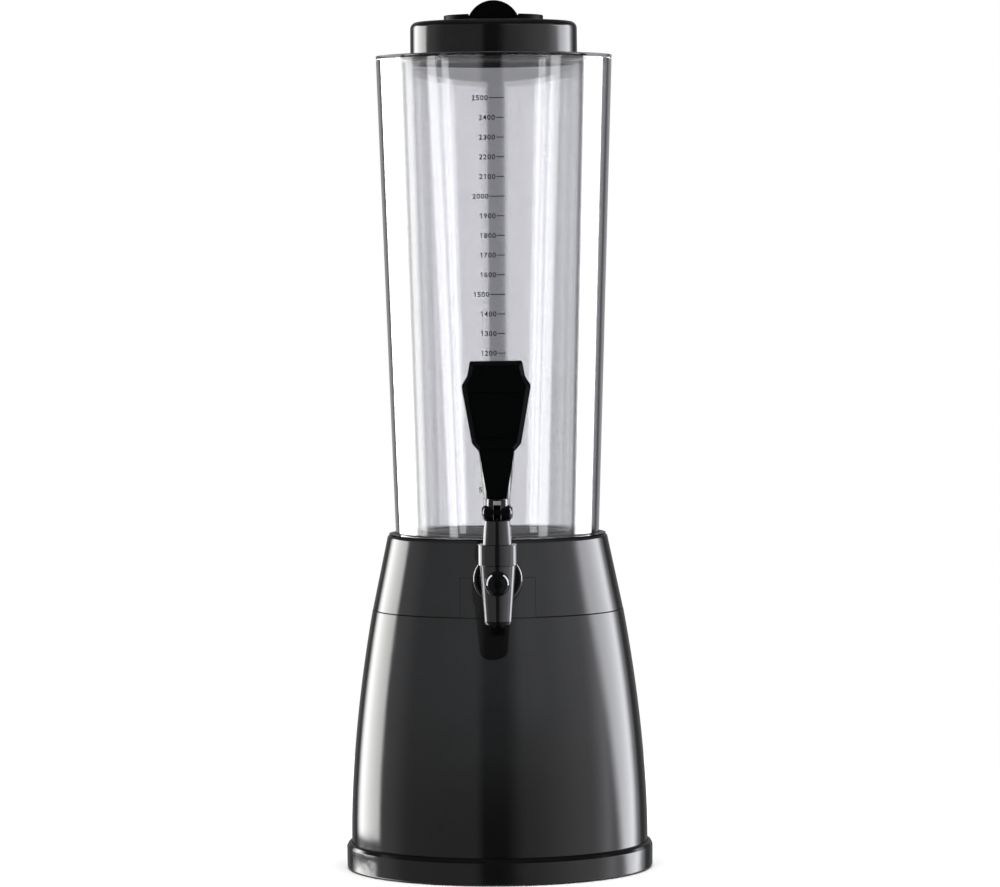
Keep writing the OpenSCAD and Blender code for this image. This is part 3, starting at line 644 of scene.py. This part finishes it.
def studio():
    """A pale floor, a white surround and soft lights round the tower."""
    bm = bmesh.new()
    bmesh.ops.create_circle(bm, cap_ends=True, segments=96, radius=620.0)
    floor = make("floor", bm)
    floor.location.z = 0.0
    floor.visible_glossy = False
    mat = bpy.data.materials.new("pale_floor")
    mat.use_nodes = True
    b = mat.node_tree.nodes["Principled BSDF"]
    b.inputs["Base Color"].default_value = (0.92, 0.92, 0.92, 1)
    b.inputs["Roughness"].default_value = 0.9
    b.inputs["Specular IOR Level"].default_value = 0.1
    floor.data.materials.append(mat)

    w = bpy.data.worlds.new("studio")
    bpy.context.scene.world = w
    w.use_nodes = True
    nt = w.node_tree
    nt.nodes.clear()
    out = nt.nodes.new("ShaderNodeOutputWorld")
    tc = nt.nodes.new("ShaderNodeTexCoord")
    sep = nt.nodes.new("ShaderNodeSeparateXYZ")
    nt.links.new(tc.outputs["Generated"], sep.inputs[0])
    path = nt.nodes.new("ShaderNodeLightPath")

    def mth(op, a, b=None, clamp=False):
        n = nt.nodes.new("ShaderNodeMath")
        n.operation = op
        n.use_clamp = clamp
        for i, v in enumerate((a, b)):
            if v is None:
                continue
            if isinstance(v, (int, float)):
                n.inputs[i].default_value = v
            else:
                nt.links.new(v, n.inputs[i])
        return n.outputs[0]

    # azimuth from the front, in degrees, positive towards +X
    neg_y = mth("MULTIPLY", sep.outputs["Y"], -1.0)
    az = mth("MULTIPLY", mth("ARCTAN2", sep.outputs["X"], neg_y), 180 / math.pi)
    el = mth("MULTIPLY", mth("ARCSINE", sep.outputs["Z"]), 180 / math.pi)

    def step(x, a, b):
        n = nt.nodes.new("ShaderNodeMapRange")
        n.interpolation_type = "SMOOTHSTEP"
        n.inputs["From Min"].default_value = a
        n.inputs["From Max"].default_value = b
        nt.links.new(x, n.inputs["Value"])
        return n.outputs["Result"]

    def band(x, a0, a1, s0, s1):
        up = step(x, a0 - s0 / 2, a0 + s0 / 2)
        down = mth("SUBTRACT", 1.0, step(x, a1 - s1 / 2, a1 + s1 / 2))
        return mth("MULTIPLY", up, down)

    def light(masks, color, strength):
        m = masks[0]
        for k in masks[1:]:
            m = mth("MULTIPLY", m, k)
        n = nt.nodes.new("ShaderNodeBackground")
        n.inputs["Color"].default_value = (*color, 1)
        nt.links.new(mth("MULTIPLY", m, strength), n.inputs["Strength"])
        return n.outputs[0]

    def total(parts):
        t = parts[0]
        for p in parts[1:]:
            n = nt.nodes.new("ShaderNodeAddShader")
            nt.links.new(t, n.inputs[0])
            nt.links.new(p, n.inputs[1])
            t = n.outputs[0]
        return t

    cool, warm, violet = (0.97, 0.97, 1.0), (1.0, 1.0, 0.985), (0.95, 0.955, 1.0)
    tall = band(el, -48, 15, 14, 6)
    low = band(el, -62, 27, 20, 12)
    # the left box stands over the edge of a white table, with a dark gap between
    split = mth("ADD", band(el, -7.0, 15, 0.8, 6), band(el, -48, -8.4, 14, 0.6))
    # the inner edge of the right box leans
    slant = mth("ADD", az, mth("MULTIPLY", el, 0.9))
    right = mth("MULTIPLY", step(slant, 96.5, 109.0), mth("SUBTRACT", 1.0, step(az, 125, 137)))
    ahead = mth("SUBTRACT", 1.0, step(mth("ABSOLUTE", az), 150, 165))
    behind = mth("SUBTRACT", 1.0, ahead)
    ceiling = step(el, 55, 75)
    # what glossy plastic, metal and the floor see
    gloss = total([
        light([band(az, -142, -107.5, 16, 6), split], warm, 7.8),     # left soft box
        light([right, tall], violet, 6.2),                            # right soft box
        light([band(az, 88, 139, 26, 14), tall], violet, 1.5),        # its glow on the wall
        light([band(az, -108, -15, 6, 9), low], cool, 0.40),               # left front
        light([band(az, -108, -84, 6, 22), low], cool, 0.36),
        light([band(az, 13, 97, 20, 10), low], cool, 0.50),                # right front
        light([band(az, 46, 97, 56, 10), low], cool, 0.72),
        light([band(az, 14, 38, 14, 22), band(el, 7, 27, 8, 12)], cool, 0.30),
        light([mth("ABSOLUTE", 1.0)], cool, 0.11),
        light([behind, low], cool, 0.10),
        light([ceiling], (1, 1, 1), 0.12)])
    # what the clear walls see; rays from deep inside see the soft boxes faintly
    near = mth("ADD", mth("MULTIPLY", mth("LESS_THAN", path.outputs["Transmission Depth"], 2.5), 0.92), 0.08)
    deep = mth("GREATER_THAN", path.outputs["Transmission Depth"], 7.0)
    level = band(el, -60, 40, 20, 20)
    clear = total([
        light([band(az, -147, -88, 3, 4), tall, near], warm, 3.5),
        light([band(az, -147, -105, 3, 5), tall, near], warm, 5.5),
        light([band(az, 100, 134, 4, 5), tall, near], (0.98, 0.985, 1.0), 8.0),
        light([band(az, -90, -14, 8, 5), level], violet, 0.46),
        light([band(az, 9, 101, 5, 6), level], violet, 0.46),
        light([band(az, -90, -14, 8, 5), level, deep], (1.0, 0.985, 1.0), 2.35),
        light([band(az, 9, 101, 5, 6), level, deep], (1.0, 0.985, 1.0), 2.35),
        light([mth("ABSOLUTE", 1.0)], violet, 0.05),
        light([behind], violet, 0.26),
        light([ceiling], (1, 1, 1), 0.09)])
    by_ray = nt.nodes.new("ShaderNodeMixShader")
    nt.links.new(path.outputs["Is Singular Ray"], by_ray.inputs[0])
    nt.links.new(gloss, by_ray.inputs[1])
    nt.links.new(clear, by_ray.inputs[2])
    white = nt.nodes.new("ShaderNodeBackground")
    white.inputs["Color"].default_value = (1, 1, 1, 1)
    white.inputs["Strength"].default_value = 1.0
    mix = nt.nodes.new("ShaderNodeMixShader")
    nt.links.new(path.outputs["Is Camera Ray"], mix.inputs[0])
    nt.links.new(by_ray.outputs[0], mix.inputs[1])
    nt.links.new(white.outputs[0], mix.inputs[2])
    nt.links.new(mix.outputs[0], out.inputs["Surface"])

    la = bpy.data.lights.new("overhead", "AREA")
    la.shape, la.size, la.size_y, la.energy = "RECTANGLE", 1.8, 1.8, 62
    ob = bpy.data.objects.new("overhead", la)
    ob.location = (0, -0.1, 1.9)
    ob.visible_camera = False
    ob.visible_glossy = False
    ob.visible_transmission = False
    bpy.context.scene.collection.objects.link(ob)

    def linked(name, *objects):
        c = bpy.data.collections.new(name)
        for o in objects:
            c.objects.link(o)
        return c

    # a key light from high in front, which throws the tap's shadow on the pedestal
    la = bpy.data.lights.new("key", "SPOT")
    la.energy, la.spot_size, la.spot_blend, la.shadow_soft_size = 380, math.radians(10.8), 1.0, 0.008
    ob = bpy.data.objects.new("key", la)
    aim = Vector((0, -0.078, 0.165))
    t, e = math.radians(5), math.radians(33)
    way = Vector((math.sin(t) * math.cos(e), -math.cos(t) * math.cos(e), math.sin(e)))
    ob.location = aim + way * 1.2
    ob.rotation_euler = way.to_track_quat("Z", "Y").to_euler()
    ob.visible_camera = ob.visible_glossy = ob.visible_transmission = False
    ob.light_linking.receiver_collection = linked("moulded_front", pedestal, collar, panel)
    bpy.context.scene.collection.objects.link(ob)

    # small lights high at both sides that only the tap's ring, fork and cap catch
    small = linked("small_parts", ring, fork, cap)
    for name, side in (("side_left", -1), ("side_right", 1)):
        la = bpy.data.lights.new(name, "AREA")
        la.shape, la.size, la.size_y, la.energy = "RECTANGLE", 0.26, 0.90, 30.0 * math.pi * 0.26 * 0.90
        ob = bpy.data.objects.new(name, la)
        way = Vector((side * 0.93, -0.04, 0.36)).normalized()
        ob.location = Vector((0, -0.1, 0.2)) + way * 0.7
        ob.rotation_euler = way.to_track_quat("Z", "Y").to_euler()
        ob.visible_camera = False
        ob.light_linking.receiver_collection = small
        bpy.context.scene.collection.objects.link(ob)

    # two leaning strip lights that only the clear walls catch
    walls = bpy.data.collections.new("clear_walls")
    for o in (column, vessel):
        walls.objects.link(o)

    def strip(name, side, angle, height, lean, width, radiance, color):
        far, tall_m = 0.80, 0.80
        t = math.radians(angle)
        out_ = Vector((side * math.sin(t), -math.cos(t), 0))
        away = Vector((side * math.cos(t), math.sin(t), 0))
        up = Vector((0, 0, 1)) * math.cos(math.radians(lean)) + away * math.sin(math.radians(lean))
        across = up.cross(out_)
        la = bpy.data.lights.new(name, "AREA")
        la.shape, la.size, la.size_y = "RECTANGLE", width, tall_m
        la.energy = radiance * math.pi * width * tall_m
        la.color = color
        ob = bpy.data.objects.new(name, la)
        at = out_ * far + Vector((0, 0, height))
        ob.matrix_world = Matrix(((across.x, up.x, out_.x, at.x), (across.y, up.y, out_.y, at.y),
                                  (across.z, up.z, out_.z, at.z), (0, 0, 0, 1)))
        ob.visible_camera = False
        ob.light_linking.receiver_collection = walls
        bpy.context.scene.collection.objects.link(ob)

    strip("strip_left", -1, 54.6, 0.276, 25, 0.122, 3.3, (1, 1, 1))
    strip("strip_right", 1, 55.8, 0.276, 20, 0.138, 2.9, (1, 1, 1))

    cam = bpy.data.cameras.new("camera")
    cam.sensor_width = 36.0
    cam.lens = 4739 * 36.0 / 1000
    cam.clip_start, cam.clip_end = 0.05, 60
    co = bpy.data.objects.new("camera", cam)
    bpy.context.scene.collection.objects.link(co)
    place = Vector((0.0020, -2.900, 0.3928))
    look = Vector((0.0020, 0.0, 0.2598)) - place
    turn = look.to_track_quat("-Z", "Y").to_matrix().to_4x4() @ Matrix.Rotation(math.radians(-0.45), 4, "Z")
    co.matrix_world = Matrix.Translation(place) @ turn
    bpy.context.scene.camera = co
    sc = bpy.context.scene
    sc.view_settings.view_transform = "Standard"
    sc.view_settings.look = "None"
    sc.cycles.max_bounces = 24
    sc.cycles.transmission_bounces = 20
    sc.cycles.glossy_bounces = 12


studio()
for o in (column, vessel):
    o.visible_shadow = False

bpy.context.view_layer.update()
